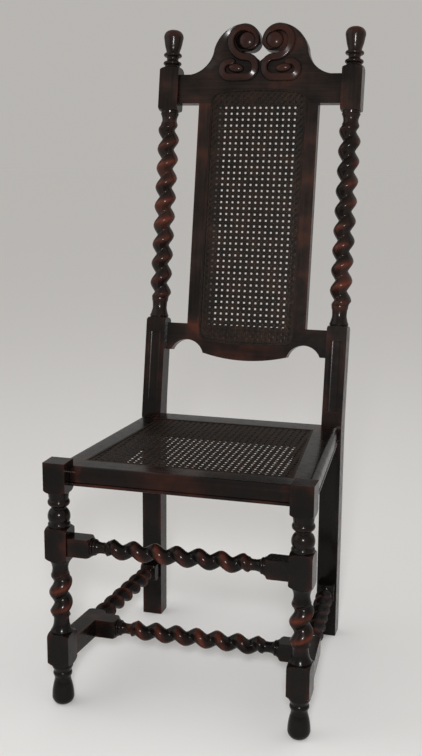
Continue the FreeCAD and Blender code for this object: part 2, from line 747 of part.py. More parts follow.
def rear_rail():
    front = "seat_cane_rear - cane_ledge"
    section = [
        (front, RAIL_BOTTOM),
        ("rear_rail_back", RAIL_BOTTOM),
        ("rear_rail_back", "rail_top - rear_rail_round"),
        ("rear_rail_back - rear_rail_round", "rail_top",
         f"rear_rail_back - {QUARTER_SHARE} * rear_rail_round",
         f"rail_top - {QUARTER_SHARE} * rear_rail_round"),
        (front, "rail_top"),
    ]
    stick = place(slab("rear_rail_stick", "YZ_Plane", f"2 * {POST_GAP}", section), f"-{POST_GAP}")
    return cut("rear_rail", stick, *seat_cuts, *bores_at("rear", "left", "right"))


def side_rail(side, sign):
    """A moulded stick that leans in towards the back, sawn to the plan of the rail."""
    outer = "((front_leg_spread + leg_side) / 2 - side_rail_inset)"
    stretch = f"sqrt(1 + {FACE_SLOPE}^2)"
    stick = slab(
        f"{side}_rail_stick", "XZ_Plane", f"({SIDE_RUN} + 2 * overrun) * {stretch}",
        moulding("0", -sign, "rail_stock"), backwards=True)
    lean = Rotation(UP, sign * math.degrees(math.atan(size(FACE_SLOPE))))
    place(stick, f"{sign} * ({outer} + overrun * {FACE_SLOPE})", "leg_side / 2 - overrun", "0", lean)
    opening = seat_panel("cane_ledge")
    beyond = "front_leg_spread / 2 + leg_side"
    plan = [
        (LEG_GAP, "leg_side / 2"), (beyond, "leg_side / 2"), (beyond, "seat_run"), (POST_GAP, "seat_run"),
        (POST_GAP, opening[1][1]), opening[1], opening[0], (LEG_GAP, opening[0][1]),
    ]
    sawn = slab(f"{side}_rail_plan", "XY_Plane", "rail_height", plan if sign > 0 else mirrored(plan))
    shaped = common(f"{side}_rail_shaped", stick, place(sawn, z=RAIL_BOTTOM))
    return cut(f"{side}_rail", shaped, *seat_cuts, *bores_at("leg", side), *bores_at("post", side))


# Caned back
def back_panel(inset):
    """Outline of the caned part of the back, drawn in by an inset: bowed ends and round corners."""
    half, corner = f"(cane_width / 2 - {inset})", f"(cane_corner - {inset})"
    top, low = f"(cane_top - cane_arch - {inset})", f"(cane_bottom + cane_arch + {inset})"
    near, far = f"({half} - {QUARTER_SHARE} * {corner})", f"({half} - {corner})"
    return [
        (half, f"{top} - {corner}"),
        (far, top, near, f"{top} - {QUARTER_SHARE} * {corner}"),
        (f"-{far}", top, "0", f"{top} + cane_arch"),
        (f"-{half}", f"{top} - {corner}", f"-{near}", f"{top} - {QUARTER_SHARE} * {corner}"),
        (f"-{half}", f"{low} + {corner}"),
        (f"-{far}", low, f"-{near}", f"{low} + {QUARTER_SHARE} * {corner}"),
        (far, low, "0", f"{low} - cane_arch"),
        (half, f"{low} + {corner}", near, f"{low} + {QUARTER_SHARE} * {corner}"),
    ]


back_recess = back_slab("back_recess", "cane_recess + overrun", back_panel("0"))
back_ring_outlines = (back_panel("0"), back_panel("spline_width"))
back_groove = back_slab("back_groove", "groove_depth + overrun", *back_ring_outlines)
back_cuts = [on_back(tool, behind="back_setback - overrun") for tool in (back_recess, back_groove)]


def back_stile(side, sign):
    outer = "stile_spread / 2"
    corners = [
        (STILE_INNER, "lower_rail_top"), (outer, "lower_rail_top"),
        (outer, "crest_bottom"), (STILE_INNER, "crest_bottom"),
    ]
    board = back_slab(f"{side}_stile_board", "back_thickness", corners if sign > 0 else mirrored(corners))
    on_back(board, behind="back_setback")
    tenoned = fuse(f"{side}_stile_tenoned", board, tenons["stile_top", side], tenons["stile_foot", side])
    return cut(f"{side}_stile", tenoned, *back_cuts)


def lower_back_rail():
    right = [
        (POST_GAP, "lower_rail_top"),
        (POST_GAP, "lower_rail_end"),
        ("lower_rail_foot", "lower_rail_end"),
        ("lower_rail_cusp_place", "lower_rail_cusp", "lower_rail_arch_place", "lower_rail_arch"),
    ]
    left = mirrored(turned_back(right))
    bow = left[0] + ("0", "lower_rail_bow")
    board = back_slab("lower_rail_board", "back_thickness", right + [bow] + left[1:])
    on_back(board, behind="back_setback")
    tenoned = fuse("lower_rail_tenoned", board, *(tenons["lower", side] for side, _ in SIDES))
    return cut("lower_rail", tenoned, *back_cuts, *(mortises["stile_foot", side] for side, _ in SIDES))


# Crest rail: a board with a pierced top, and on each side a scroll that winds out of an upper eye,
# sweeps under it to the middle and winds into a lower eye
def scroll_places():
    """Centres of the last three rounds of the right-hand scroll as (across, up)."""
    sweep = ("(volute_place + volute_radius - sweep_radius)", "volute_height")
    turn = (sweep[0], "(volute_height - sweep_radius - lower_turn_radius)")
    end_turn = (f"({turn[0]} + lower_run)", f"({turn[1]} - lower_turn_radius + end_turn_radius)")
    return sweep, turn, end_turn


def crest_outline():
    sweep, turn, _ = scroll_places()
    edge = "(scroll_radius + scroll_margin)"
    volute, curl = f"(volute_radius + {edge})", f"(curl_radius + {edge})"
    slot, bank = f"(sweep_radius - {edge})", f"(lower_turn_radius + {edge})"
    curl_place = "(volute_place - volute_radius + curl_radius)"
    diagonal = 1 - QUARTER_SHARE

    def under(angle):
        return f"{sweep[0]} + {slot} * sin({angle})", f"{sweep[1]} - {slot} * cos({angle})"

    def over(angle):
        return f"{turn[0]} - {bank} * sin({angle})", f"{turn[1]} + {bank} * cos({angle})"

    right = [
        (POST_GAP, "crest_bottom"),
        (POST_GAP, "crest_dip"),
        ("crest_dip_place", "crest_dip"),
        ("crest_flank_place", "crest_flank", "crest_cove_place", "crest_cove"),
        ("volute_place", f"volute_height + {volute}", "crest_shoulder_place", "crest_shoulder"),
        (f"volute_place - {volute}", "volute_height",
         f"volute_place - {diagonal} * {volute}", f"volute_height + {diagonal} * {volute}"),
        (curl_place, f"volute_height - {curl}",
         f"{curl_place} - {diagonal} * {curl}", f"volute_height - {diagonal} * {curl}"),
        under("pierced_tip_angle"),
        under("0") + under("pierced_tip_angle / 2"),
        over("pierced_bank_angle") + over("pierced_bank_angle / 2"),
        ("0", "pierced_bottom"),
    ]
    return right + mirrored(turned_back(right))[1:]


def scroll(name, sign):
    """The raised band of one scroll, as two round bars half sunk into the board."""
    sweep, turn, end_turn = [Vector(size(x), 0, size(up)) for x, up in scroll_places()]
    volute = Vector(size("volute_place"), 0, size("volute_height"))
    curl = volute - ACROSS * (size("volute_radius") - size("curl_radius"))

    def bend(centre, radius, start, end):
        places = []
        for angle in (start, (start + end) / 2, end):
            way = Vector(math.cos(math.radians(angle)), 0, math.sin(math.radians(angle)))
            places.append(mirror(centre + way * size(radius)))
        return Part.Arc(*places).toShape()

    def line(start, end):
        return Part.LineSegment(mirror(start), mirror(end)).toShape()

    def mirror(point):
        return Vector(sign * point.x, point.y, point.z)

    turn_foot = turn - UP * size("lower_turn_radius")
    end_top = end_turn + UP * size("end_turn_radius")
    paths = [
        [
            bend(curl, "curl_radius", 270, 180),
            bend(volute, "volute_radius", 180, 0),
            bend(sweep, "sweep_radius", 0, -90),
            bend(turn, "lower_turn_radius", 90, 270),
            line(turn_foot, turn_foot + ACROSS * size("lower_run")),
        ],
        [bend(end_turn, "end_turn_radius", -90, 90), line(end_top, end_top - ACROSS * size("end_run"))],
    ]
    bars = []
    for number, path in enumerate(paths):
        first = path[0]
        start, heading = first.valueAt(first.FirstParameter), first.tangentAt(first.FirstParameter)
        ring = Part.Wire(Part.makeCircle(size("scroll_radius"), start, heading))
        bar = doc.addObject("Part::Feature", f"{name}_band_{number}")
        bar.Shape = Part.Wire(path).makePipeShell([ring], True, True)
        bars.append(on_back(bar, behind="back_setback"))
    return bars


def eye(name, x, up, length, radius):
    """A domed eye on the face of the crest."""
    dome = doc.addObject("Part::Ellipsoid", name)
    bind(dome, Radius1=radius, Radius2=f"{length} / 2", Radius3="eye_height")
    return on_back(dome, x, "back_setback", up)


def crest_rail():
    board = on_back(back_slab("crest_board", "back_thickness", crest_outline()), behind="back_setback")
    _, turn, end_turn = scroll_places()
    carving = []
    for side, sign in SIDES:
        carving += scroll(f"{side}_scroll", sign)
        upper = (f"{sign} * volute_place", "volute_height")
        lower = (f"{sign} * ({turn[0]} + {EYE_PLACE_SHARE} * lower_run)", end_turn[1])
        curl_tip = (f"{sign} * (volute_place - volute_radius + curl_radius)", "volute_height - curl_radius")
        end_tip = (f"{sign} * ({end_turn[0]} - end_run)", f"{end_turn[1]} + end_turn_radius")
        carving.append(eye(f"{side}_upper_eye", *upper, "2 * upper_eye_radius", "upper_eye_radius"))
        carving.append(eye(f"{side}_lower_eye", *lower, "lower_eye_length", "lower_eye_radius"))
        for tip, spot in (("curl", curl_tip), ("end", end_tip)):
            ball = bind(doc.addObject("Part::Sphere", f"{side}_{tip}_tip"), Radius="scroll_radius")
            carving.append(on_back(ball, spot[0], "back_setback", spot[1]))
    tenoned = fuse("crest_tenoned", board, *carving, *(tenons["crest", side] for side, _ in SIDES))
    return cut("crest", tenoned, *back_cuts, *(mortises["stile_top", side] for side, _ in SIDES))


# Cane sheets with their web as a plain grid of openings, and the splines that hold their edges
def slots(name, way, count, corner, sides):
    """Parallel slots that share out one side of a flat box."""
    pitch = f"({sides[way]} / {count})"
    made = []
    for number in range(count):
        start, lengths = list(corner), list(sides)
        start[way] += f" + ({number} + (1 - {OPENING_SHARE}) / 2) * {pitch}"
        lengths[way] = f"{OPENING_SHARE} * {pitch}"
        made.append(place(box(f"{name}_{number}", *lengths), *start))
    return fuse(name, *made)


def grid(name, counts, corner, sides):
    """A grid of openings where slots of two ways cross; the counts are across, deep and up."""
    used = [(way, count) for way, count in enumerate(counts) if count]
    return common(name, *(slots(f"{name}_{way}", way, count, corner, sides) for way, count in used))


def seat_web():
    """The seat sheet, open where it lies free of its ledge."""
    wide = "(seat_cane_front_width - 2 * cane_ledge)"
    deep = "(seat_cane_rear - seat_cane_front - 2 * cane_ledge)"
    corner = [f"-{wide} / 2", "seat_cane_front + cane_ledge", "0"]
    crossing = grid("seat_grid", SEAT_OPENINGS, corner, [wide, deep, "cane_thickness"])
    free = slab("seat_free", "XY_Plane", "cane_thickness", seat_panel("cane_ledge"))
    blank = slab("seat_blank", "XY_Plane", "cane_thickness", seat_panel("(spline_width + fit_gap)"))
    return cut("seat_sheet", blank, common("seat_openings", crossing, free))


def back_web():
    """The back sheet, open where it lies free of its ledge."""
    wide, low = "(cane_width - 2 * cane_ledge)", "(cane_bottom + cane_arch + cane_ledge)"
    tall = f"(cane_top - cane_arch - cane_ledge - {low})"
    crossing = grid("back_grid", BACK_OPENINGS, [f"-{wide} / 2", "0", low], [wide, "cane_thickness", tall])
    blank = back_slab("back_blank", "cane_thickness", back_panel("(spline_width + fit_gap)"))
    return cut("back_sheet", blank, crossing)


def panels():
    ring_inset, ring_inner = "fit_gap", "(spline_width - fit_gap)"
    piece(seat_web(), "seat_cane", "rail_top - cane_recess")
    ring = slab("seat_ring", "XY_Plane", "groove_depth", seat_panel(ring_inset), seat_panel(ring_inner))
    piece(ring, "seat_cane_spline", "rail_top - groove_depth")
    sheet_depth = "back_setback + cane_recess - cane_thickness"
    back_piece(back_web(), "back_cane", sheet_depth)
    ring = back_slab("back_ring", "groove_depth", back_panel(ring_inset), back_panel(ring_inner))
    back_piece(ring, "back_cane_spline", "back_setback")


def group(name, parts):
    joined = doc.addObject("Part::Compound", name)
    joined.Links = parts
    return joined


# The chair
side_bars = {side: side_stretcher(side, sign) for side, sign in SIDES}
for side, sign in SIDES:
    piece(front_leg(side, sign), f"{side}_front_leg")
    piece(back_post(side, sign), f"{side}_back_post")
    piece(side_rail(side, sign), f"{side}_seat_rail")
    piece(back_stile(side, sign), f"{side}_back_stile")
    piece(cut(f"{side}_stretcher", side_bars[side], mortises["cross", side]), f"{side}_side_stretcher")
piece(front_rail(), "front_seat_rail")
piece(rear_rail(), "rear_seat_rail")
piece(front_stretcher(), "front_stretcher")
piece(cross_stretcher(side_bars), "cross_stretcher")
piece(crest_rail(), "crest_rail")
piece(lower_back_rail(), "lower_back_rail")
piece(group("leg_pegs", leg_pegs), "front_leg_dowels")
piece(group("post_pegs", post_pegs), "back_post_dowels")
panels()
doc.recompute()

for thing in doc.Objects:
    if "Invalid" in thing.State or "Error" in thing.State:
        raise RuntimeError(f"{thing.Name} failed: {thing.State}")
for thing in pieces:
    if thing.Shape.isNull() or not thing.Shape.isValid():
        raise RuntimeError(f"{thing.Label} has no valid shape")

os.makedirs("parts", exist_ok=True)
for thing in pieces:
    thing.Shape.exportStep(f"parts/{thing.Label}.step")
    print(f"{thing.Label}: {len(thing.Shape.Solids)} solids, {thing.Shape.Volume:.0f} cubic mm")
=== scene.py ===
# %% [markdown]
# # A high-back chair with barley twists and cane
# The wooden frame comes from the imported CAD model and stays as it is. This lesson dresses it: a stained
# and polished wood for every piece of the frame, and woven cane in place of the plain sheets.
# Everything is in metres, +Z is up and the chair faces -Y.

# %% Load the frame
import math

import bmesh
import bpy
from mathutils import Matrix, Vector


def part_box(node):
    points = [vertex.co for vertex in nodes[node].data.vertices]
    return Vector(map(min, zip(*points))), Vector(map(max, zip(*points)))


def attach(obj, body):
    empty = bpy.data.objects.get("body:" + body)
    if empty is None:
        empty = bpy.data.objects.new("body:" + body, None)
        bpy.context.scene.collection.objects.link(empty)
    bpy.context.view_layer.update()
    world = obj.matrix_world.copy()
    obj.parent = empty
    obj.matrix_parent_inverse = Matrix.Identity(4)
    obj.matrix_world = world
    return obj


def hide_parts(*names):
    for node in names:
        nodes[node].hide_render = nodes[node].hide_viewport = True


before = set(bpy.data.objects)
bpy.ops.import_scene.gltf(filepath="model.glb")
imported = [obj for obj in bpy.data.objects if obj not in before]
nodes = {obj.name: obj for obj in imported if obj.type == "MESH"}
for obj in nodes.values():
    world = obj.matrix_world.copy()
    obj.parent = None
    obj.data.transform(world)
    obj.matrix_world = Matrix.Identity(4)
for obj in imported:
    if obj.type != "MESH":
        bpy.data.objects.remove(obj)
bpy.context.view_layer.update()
MM = 0.001
TOUCHING = 0.01 * MM
print("pieces of the frame:", len(nodes))

# %% [markdown]
# ## Camera
# The picture was taken from a little to the right of the chair and from above the seat. The lens is given
# for a tall picture, so its 36 mm sensor lies along the height.

# %% Camera
CAMERA_PLACE = Vector((0.5615, -2.0515, 1.0227))
CAMERA_TURN = 0.278
CAMERA_PITCH = 0.212
CAMERA_ROLL = 0.0052
CAMERA_LENS = 53.65
camera_data = bpy.data.cameras.new("camera")
camera_data.sensor_fit = "AUTO"
camera_data.sensor_width = 36.0
camera_data.lens = CAMERA_LENS
camera = bpy.data.objects.new("camera", camera_data)
camera.location = CAMERA_PLACE
camera.rotation_euler = (
    Matrix.Rotation(CAMERA_TURN, 3, "Z") @ Matrix.Rotation(math.pi / 2 - CAMERA_PITCH, 3, "X")
    @ Matrix.Rotation(CAMERA_ROLL, 3, "Z")).to_euler()
bpy.context.scene.collection.objects.link(camera)
bpy.context.scene.camera = camera
print("camera stands", round(CAMERA_PLACE.length, 2), "m from the chair's foot")

# %% [markdown]
# ## Shader maths in plain Python
# A finish is easiest to read as sums and products. This class wraps a socket, so that an expression on
# values adds the Math nodes by itself, and one method makes every other kind of node.


# %% Finish class
class Finish:
    """A socket of a material, with arithmetic that adds Math nodes."""

    def __init__(self, tree, socket):
        self.tree = tree
        self.socket = socket

    def node(self, kind, settings=None, output=0, **inputs):
        """Add a node: its settings first, then its sockets by name, with spaces written as underscores.

        A socket that shares its name with another is given by its number, such as i6.
        """
        made = self.tree.nodes.new(kind)
        for name, value in (settings or {}).items():
            setattr(made, name, value)
        for name, value in inputs.items():
            numbered = name[0] == "i" and name[1:].isdigit()
            socket = made.inputs[int(name[1:]) if numbered else name.replace("_", " ")]
            if isinstance(value, Finish):
                self.tree.links.new(value.socket, socket)
            else:
                socket.default_value = value
        return Finish(self.tree, made.outputs[output])

    def math(self, operation, *values):
        """A Math node on numbers or sockets."""
        inputs = {f"i{number}": value for number, value in enumerate(values)}
        return self.node("ShaderNodeMath", {"operation": operation}, **inputs)

    def __add__(self, other):
        return self.math("ADD", self, other)

    def __sub__(self, other):
        return self.math("SUBTRACT", self, other)

    def __rsub__(self, other):
        return self.math("SUBTRACT", other, self)

    def __mul__(self, other):
        return self.math("MULTIPLY", self, other)

    __radd__ = __add__
    __rmul__ = __mul__

    def within(self, low, high):
        """From 0 at low to 1 at high."""
        return self.node("ShaderNodeMapRange", Value=self, From_Min=low, From_Max=high)


def new_material(name):
    """A material with only its output, and a start for its nodes."""
    material = bpy.data.materials.new(name)
    material.use_nodes = True
    tree = material.node_tree
    tree.nodes.clear()
    output = tree.nodes.new("ShaderNodeOutputMaterial")
    return material, Finish(tree, None), output


def mix(start, share, first, second):
    """A colour between two colours."""
    return start.node("ShaderNodeMix", {"data_type": "RGBA"}, 2, i0=share, i6=first, i7=second)


print("finish class ready")

# %% [markdown]
# ## Stained and polished wood
# The wood is stained almost black and polished. Hands and feet have worn the stain off the high spots, so
# the ridges of the twists, the edges and the tops of the finials show red-brown. Occlusion looked for inside
# the wood finds thin high spots, and looked for outside it finds hollows, which wear misses and which are
# painted black as shade.
# Higher up the stain has faded to brown, and lower down the wood is painted darker as shade, so the
# browning grows with height.

# %% Stained wood
BLACK_STAIN = (0.0035, 0.0028, 0.0025, 1)
BROWN_STAIN = (0.026, 0.0155, 0.0122, 1)
RED_STAIN = (0.050, 0.015, 0.010, 1)
WORN_WOOD = (0.135, 0.029, 0.014, 1)
RUBBED_WOOD = (0.026, 0.0105, 0.0080, 1)
PATCH_SCALE = 13.0
SMUDGE_SCALE = 60.0
ARRIS = 1.1 * MM
THIN_WOOD = 18 * MM
HOLLOW_REACH = 14 * MM
PORE_DEPTH = 0.3 * MM
FADE_AND_SHADE_HEIGHT = (450 * MM, 800 * MM)
TOP_GRIP = (1222 * MM, 1242 * MM)
# Values of occlusion and noise between which high and open spots, wear, brown, red and smudges come in
THIN_SPOTS, OPEN_SPOTS = (0.25, 0.7), (0.5, 1.0)
WORN_PATCHES, RIDGE_PATCHES, HANDLED_PATCHES = (0.40, 0.68), (0.38, 0.6), (0.3, 0.6)
BROWN_GRAIN, BROWN_PATCHES, RED_PATCHES = (0.35, 0.7), (0.35, 0.65), (0.54, 0.72)
SMUDGED = (0.3, 0.75)
# Shares of wear on edges, finials and carving
EDGE_WEAR, TOP_WEAR, CARVED_WEAR = 0.55, 0.5, 0.4
# Shares of a colour that are even, and that follow the grain
WORN_EVEN, WORN_GRAIN, RUBBED_EVEN = 0.25, 0.6, 0.35
LEAST_FADE_IN_SHADE = 0.1
GRAIN_BROWN, PATCH_BROWN, RED_SHARE = 0.35, 0.65, 0.7
# Roughness of the clean polish, and what smudges add
POLISH, SMUDGE_ROUGH = 0.18, 0.16


def stained_wood(name, scale, turn=(0, 0, 0), rubbed=None, handled=None):
    """The polished wood, with its grain along the axis of the smallest scale.

    Rubbed is a pair of depths along the turned Y, between which the carving gets browner. Handled is a
    pair of distances from the middle of the chair, between which a rail gets redder, and how much.
    """
    material, start, output = new_material(name)
    place = start.node("ShaderNodeTexCoord", output="Object")
    turned = start.node("ShaderNodeMapping", Vector=place, Rotation=turn)
    along = start.node("ShaderNodeMapping", Vector=turned, Scale=scale)
    grain = start.node("ShaderNodeTexNoise", Vector=along, Scale=1.0, Detail=4.0, Roughness=0.6)
    patches = start.node("ShaderNodeTexNoise", Vector=place, Scale=PATCH_SCALE, Detail=3.0)
    smudges = start.node("ShaderNodeTexNoise", Vector=place, Scale=SMUDGE_SCALE, Detail=2.0)
    inside = {"inside": True, "samples": 8}
    high = 1 - start.node("ShaderNodeAmbientOcclusion", inside, "AO", Distance=THIN_WOOD)
    open_air_and_shade = start.node("ShaderNodeAmbientOcclusion", {"samples": 8}, "AO", Distance=HOLLOW_REACH)
    open_wear = high.within(*THIN_SPOTS) * open_air_and_shade.within(*OPEN_SPOTS)
    wear = open_wear * patches.within(*WORN_PATCHES) * EDGE_WEAR
    ridge = start.node("ShaderNodeAttribute", {"attribute_name": "ridge"}, "Fac")
    wear = start.math("MAXIMUM", wear, ridge * patches.within(*RIDGE_PATCHES))
    if handled:
        far, near, share = handled
        across = start.node("ShaderNodeSeparateXYZ", output="X", Vector=place)
        touched = start.math("ABSOLUTE", across).within(far, near) * patches.within(*HANDLED_PATCHES)
        wear = start.math("MAXIMUM", wear, touched * share)
    height = start.node("ShaderNodeSeparateXYZ", output="Z", Vector=place)
    wear = start.math("MAXIMUM", wear, height.within(*TOP_GRIP) * TOP_WEAR)
    # Browner with height: faded stain higher up, and painted shade that keeps the lower chair darker
    fade_and_low_shade = LEAST_FADE_IN_SHADE + height.within(*FADE_AND_SHADE_HEIGHT) * (1 - LEAST_FADE_IN_SHADE)
    brown = grain.within(*BROWN_GRAIN) * GRAIN_BROWN + patches.within(*BROWN_PATCHES) * PATCH_BROWN
    # Painted shade: occlusion holds the brown back in hollows, so they stay black
    stain = mix(start, brown * open_air_and_shade * fade_and_low_shade, BLACK_STAIN, BROWN_STAIN)
    stain = mix(start, patches.within(*RED_PATCHES) * fade_and_low_shade * RED_SHARE, stain, RED_STAIN)
    if rubbed:
        depth = start.node("ShaderNodeSeparateXYZ", output="Y", Vector=turned)
        top = depth.within(*rubbed)
        stain = mix(start, top * (RUBBED_EVEN + smudges), stain, RUBBED_WOOD)
        wear = wear * top * CARVED_WEAR
    colour = mix(start, wear * (WORN_EVEN + grain * WORN_GRAIN), stain, WORN_WOOD)
    rough = POLISH + smudges.within(*SMUDGED) * SMUDGE_ROUGH
    edge = start.node("ShaderNodeBevel", {"samples": 4}, Radius=ARRIS)
    pores = start.node("ShaderNodeBump", Strength=0.06, Distance=PORE_DEPTH, Height=grain, Normal=edge)
    shader = start.node(
        "ShaderNodeBsdfPrincipled", Base_Color=colour, Roughness=rough, Normal=pores,
        Specular_IOR_Level=0.05, Coat_Weight=0.22, Coat_Roughness=0.16)
    start.tree.links.new(shader.socket, output.inputs["Surface"])
    return material


print("stained wood ready")

# %% [markdown]
# ## Woods by the run of their grain
# Grain runs along each piece of wood, so there is one finish for each direction. The front seat rail is worn
# where it is sat on, the lower back rail where it is gripped, and the carving of the crest is rubbed brown.

# %% Woods
GRAIN_ACROSS = 260.0
GRAIN_ALONG = 9.0
RAKE_DEGREES = 10.33
BACK_RAKE = math.radians(RAKE_DEGREES)
upright = (GRAIN_ACROSS, GRAIN_ACROSS, GRAIN_ALONG)
crosswise = (GRAIN_ALONG, GRAIN_ACROSS, GRAIN_ACROSS)
lengthwise = (GRAIN_ACROSS, GRAIN_ALONG, GRAIN_ACROSS)
raked = (BACK_RAKE, 0, 0)
woods = {
    "upright": stained_wood("stained_wood_upright", upright),
    "raked": stained_wood("stained_wood_raked", upright, raked),
    "crosswise": stained_wood("stained_wood_crosswise", crosswise),
    "lengthwise": stained_wood("stained_wood_lengthwise", lengthwise),
    "sat_on": stained_wood("stained_wood_sat_on", crosswise, handled=(115 * MM, 20 * MM, 0.2)),
    "gripped": stained_wood("stained_wood_gripped", crosswise, handled=(90 * MM, 10 * MM, 0.5)),
    "carved": stained_wood("stained_wood_carved", crosswise, raked, rubbed=(51.5 * MM, 49.0 * MM)),
}
print("wood finishes:", sorted(woods))

# %% [markdown]
# ## Where the barley twists lie
# On the real chair a round ridge winds along legs, posts and stretchers, with a narrower groove between its
# turns. A twist is given by its axis, by where it starts and ends along that axis, and by its bar. These are
# the sizes of the CAD, so that a new twist sits in the place of the old one.

# %% Places of the twists
SPLAY_DEGREES = 4.234


def lie(x, y, z, *turns):
    """A place in millimetres, then turns of so many degrees about an axis."""
    laid = Matrix.Translation(Vector((x, y, z)) * MM)
    for angle, axis in turns:
        laid @= Matrix.Rotation(math.radians(angle), 4, axis)
    return laid


rake = (-RAKE_DEGREES, "X")
# Radius of the bar, throw from its axis, and angle at which the ridge starts
TWIST_KINDS = {"leg": (16.1, 4.5, 166), "post": (16.8, 4.9, -93), "slim": (13.0, 4.7, 100)}
# Where the axis starts and lies, and where the twist starts and ends along it
TWISTS = {
    "left_front_leg": (lie(-221, -290.25, 0), 172, 251, "leg"),
    "right_front_leg": (lie(221, -290.25, 0), 172, 251, "leg"),
    "left_back_post": (lie(-191.5, 148.43, 444.41, rake), 246, 612, "post"),
    "right_back_post": (lie(191.5, 148.43, 444.41, rake), 246, 612, "post"),
    "front_stretcher": (lie(-200.5, -290.25, 308, (90, "Y")), 72, 329, "slim"),
    "cross_stretcher": (lie(-213.634, -170.25, 102, (90, "Y")), 86, 341.27, "slim"),
    "left_side_stretcher": (
        lie(-221, -269.75, 102, (-SPLAY_DEGREES, "Z"), (-90, "X")), 145, 364.59, "slim"),
    "right_side_stretcher": (
        lie(221, -269.75, 102, (SPLAY_DEGREES, "Z"), (-90, "X")), 145, 364.59, "slim"),
}
print("twists:", len(TWISTS))

# %% [markdown]
# ## Rolling a twist
# The turner leaves a plain cylinder between the necks, and the ridge is then sawn and rasped along a marked
# spiral. In the CAD it is a coarse winding bar. Here that bar is taken out of the copy, and a grid is rolled
# up into the twist in its place. Its columns run along the ridge, so ridge and groove stay smooth. Each
# point keeps how near it lies to the top of the ridge, because that is where the stain is worn.

# %% Barley twists
TWIST_PITCH = 40 * MM
TWIST_FADE = 10 * MM
TWIST_SWELL = 0.6 * MM
TWIST_COLUMNS = 24
ROWS_PER_TURN = 20
RIDGE_ROUND = 1.5
RIDGE_WEAR = 9


def cut_out_twist(mesh, laid, low, high):
    """Take the coarse twist out between two planes, and close the ends."""
    for level in (low, high):
        bmesh.ops.bisect_plane(
            mesh, geom=mesh.verts[:] + mesh.edges[:] + mesh.faces[:], dist=TOUCHING,
            plane_co=laid @ Vector((0, 0, level)), plane_no=laid.to_3x3() @ Vector((0, 0, 1)))
    flat = laid.inverted()
    between = [face for face in mesh.faces if low < (flat @ face.calc_center_median()).z < high]
    bmesh.ops.delete(mesh, geom=between, context="FACES")
    bmesh.ops.holes_fill(mesh, edges=[edge for edge in mesh.edges if edge.is_boundary])


def roll_twist(mesh, laid, low, high, kind):
    """Roll a grid up into a ridge that winds about the axis, closed at both ends."""
    radius, throw, start_angle = TWIST_KINDS[kind]
    radius, throw = radius * MM + TWIST_SWELL, throw * MM
    rows = round((high - low) / TWIST_PITCH * ROWS_PER_TURN)
    # The layer comes first, because adding it would make the points of the grid stale
    worn = mesh.verts.layers.float.new("ridge")
    made = bmesh.ops.create_grid(mesh, x_segments=TWIST_COLUMNS, y_segments=rows + 2, size=0.5)["verts"]
    for vert in made:
        from_ridge = 2 * math.pi * vert.co.x
        on_ridge = abs(math.cos(from_ridge / 2))
        # The first and the last row of the grid shrink to a point and close the end
        row = round((vert.co.y + 0.5) * (rows + 2)) - 1
        along = min(max(row, 0), rows) / rows * (high - low)
        full = min(1, along / TWIST_FADE, (high - low - along) / TWIST_FADE)
        shift = throw * full
        section = radius - shift + 2 * shift * on_ridge ** RIDGE_ROUND
        reach = section if 0 <= row <= rows else 0
        angle = math.radians(start_angle) + 2 * math.pi * along / TWIST_PITCH + from_ridge
        vert.co = laid @ Vector((reach * math.cos(angle), reach * math.sin(angle), low + along))
        vert[worn] = full * on_ridge ** RIDGE_WEAR
    bmesh.ops.remove_doubles(mesh, verts=made, dist=TOUCHING)


print("rows of a turn:", ROWS_PER_TURN)

# %% [markdown]
# ## Bands of the scrolls
# The carver cuts the two scrolls of the crest as broad bands that slope down to their outer side. In the CAD
# the bands are half-round bars. A carver would take their tops down with a gouge, and the same is done here:
# each point in front of the board moves to the height of the sloping band at its place.

# %% Bands of the scrolls
BOARD_FACE = 9 * MM
BAND_HALF = 8 * MM
BAND_HEIGHT = 6.3 * MM
BAND_SQUARE = 8
BAND_CANT = 0.4
EYE_FLOOR = 0.3 * MM
back_plane = lie(0, 128.75, 448, rake)
# Arcs that the band of a scroll follows in turn: centre across and up, and radius
HEAD, BELLY, FOOT, CURL = (37, 779.5, 26.5), (29.5, 779.5, 34), (29.5, 725, 20.5), (63.5, 720.5, 16)
# How far the band reaches out from the belly's arc, and the height that parts the two runs of its tail
BELLY_REACH = 8.5
TAIL_MIDDLE = 718
# Low eyes of the CAD that make room: across, up, and half their length and height
LOW_EYES = [(37.0, 779.5, 17.5, 17.5), (28.5, 779.5, 16.5, 16.5), (50.6, 720.5, 21.2, 9.7)]


def past(arc, x, z):
    """How far a point lies outside an arc."""
    across, up, radius = arc
    return math.hypot(x - across, z - up) - radius


def outwards(x, z):
    """How far a point lies outwards across its band, from -1 to 1; where the S swings over it fades to 0."""
    full = 1
    if z >= HEAD[1]:
        offset = past(HEAD, x, z)
    elif x >= BELLY[0] and past(BELLY, x, z) < BELLY_REACH:
        offset = past(BELLY, x, z)
        full = (x - BELLY[0]) / (offset + BELLY[2])
    elif x < FOOT[0]:
        offset = past(FOOT, x, z)
        full = (FOOT[1] + FOOT[2] - z) / FOOT[2]
    elif x < CURL[0]:
        offset = FOOT[1] - FOOT[2] - z if z < TAIL_MIDDLE else z - CURL[1] - CURL[2]
    else:
        offset = past(CURL, x, z)
    return max(-1, min(1, offset * MM / BAND_HALF)) * max(0, min(1, full))


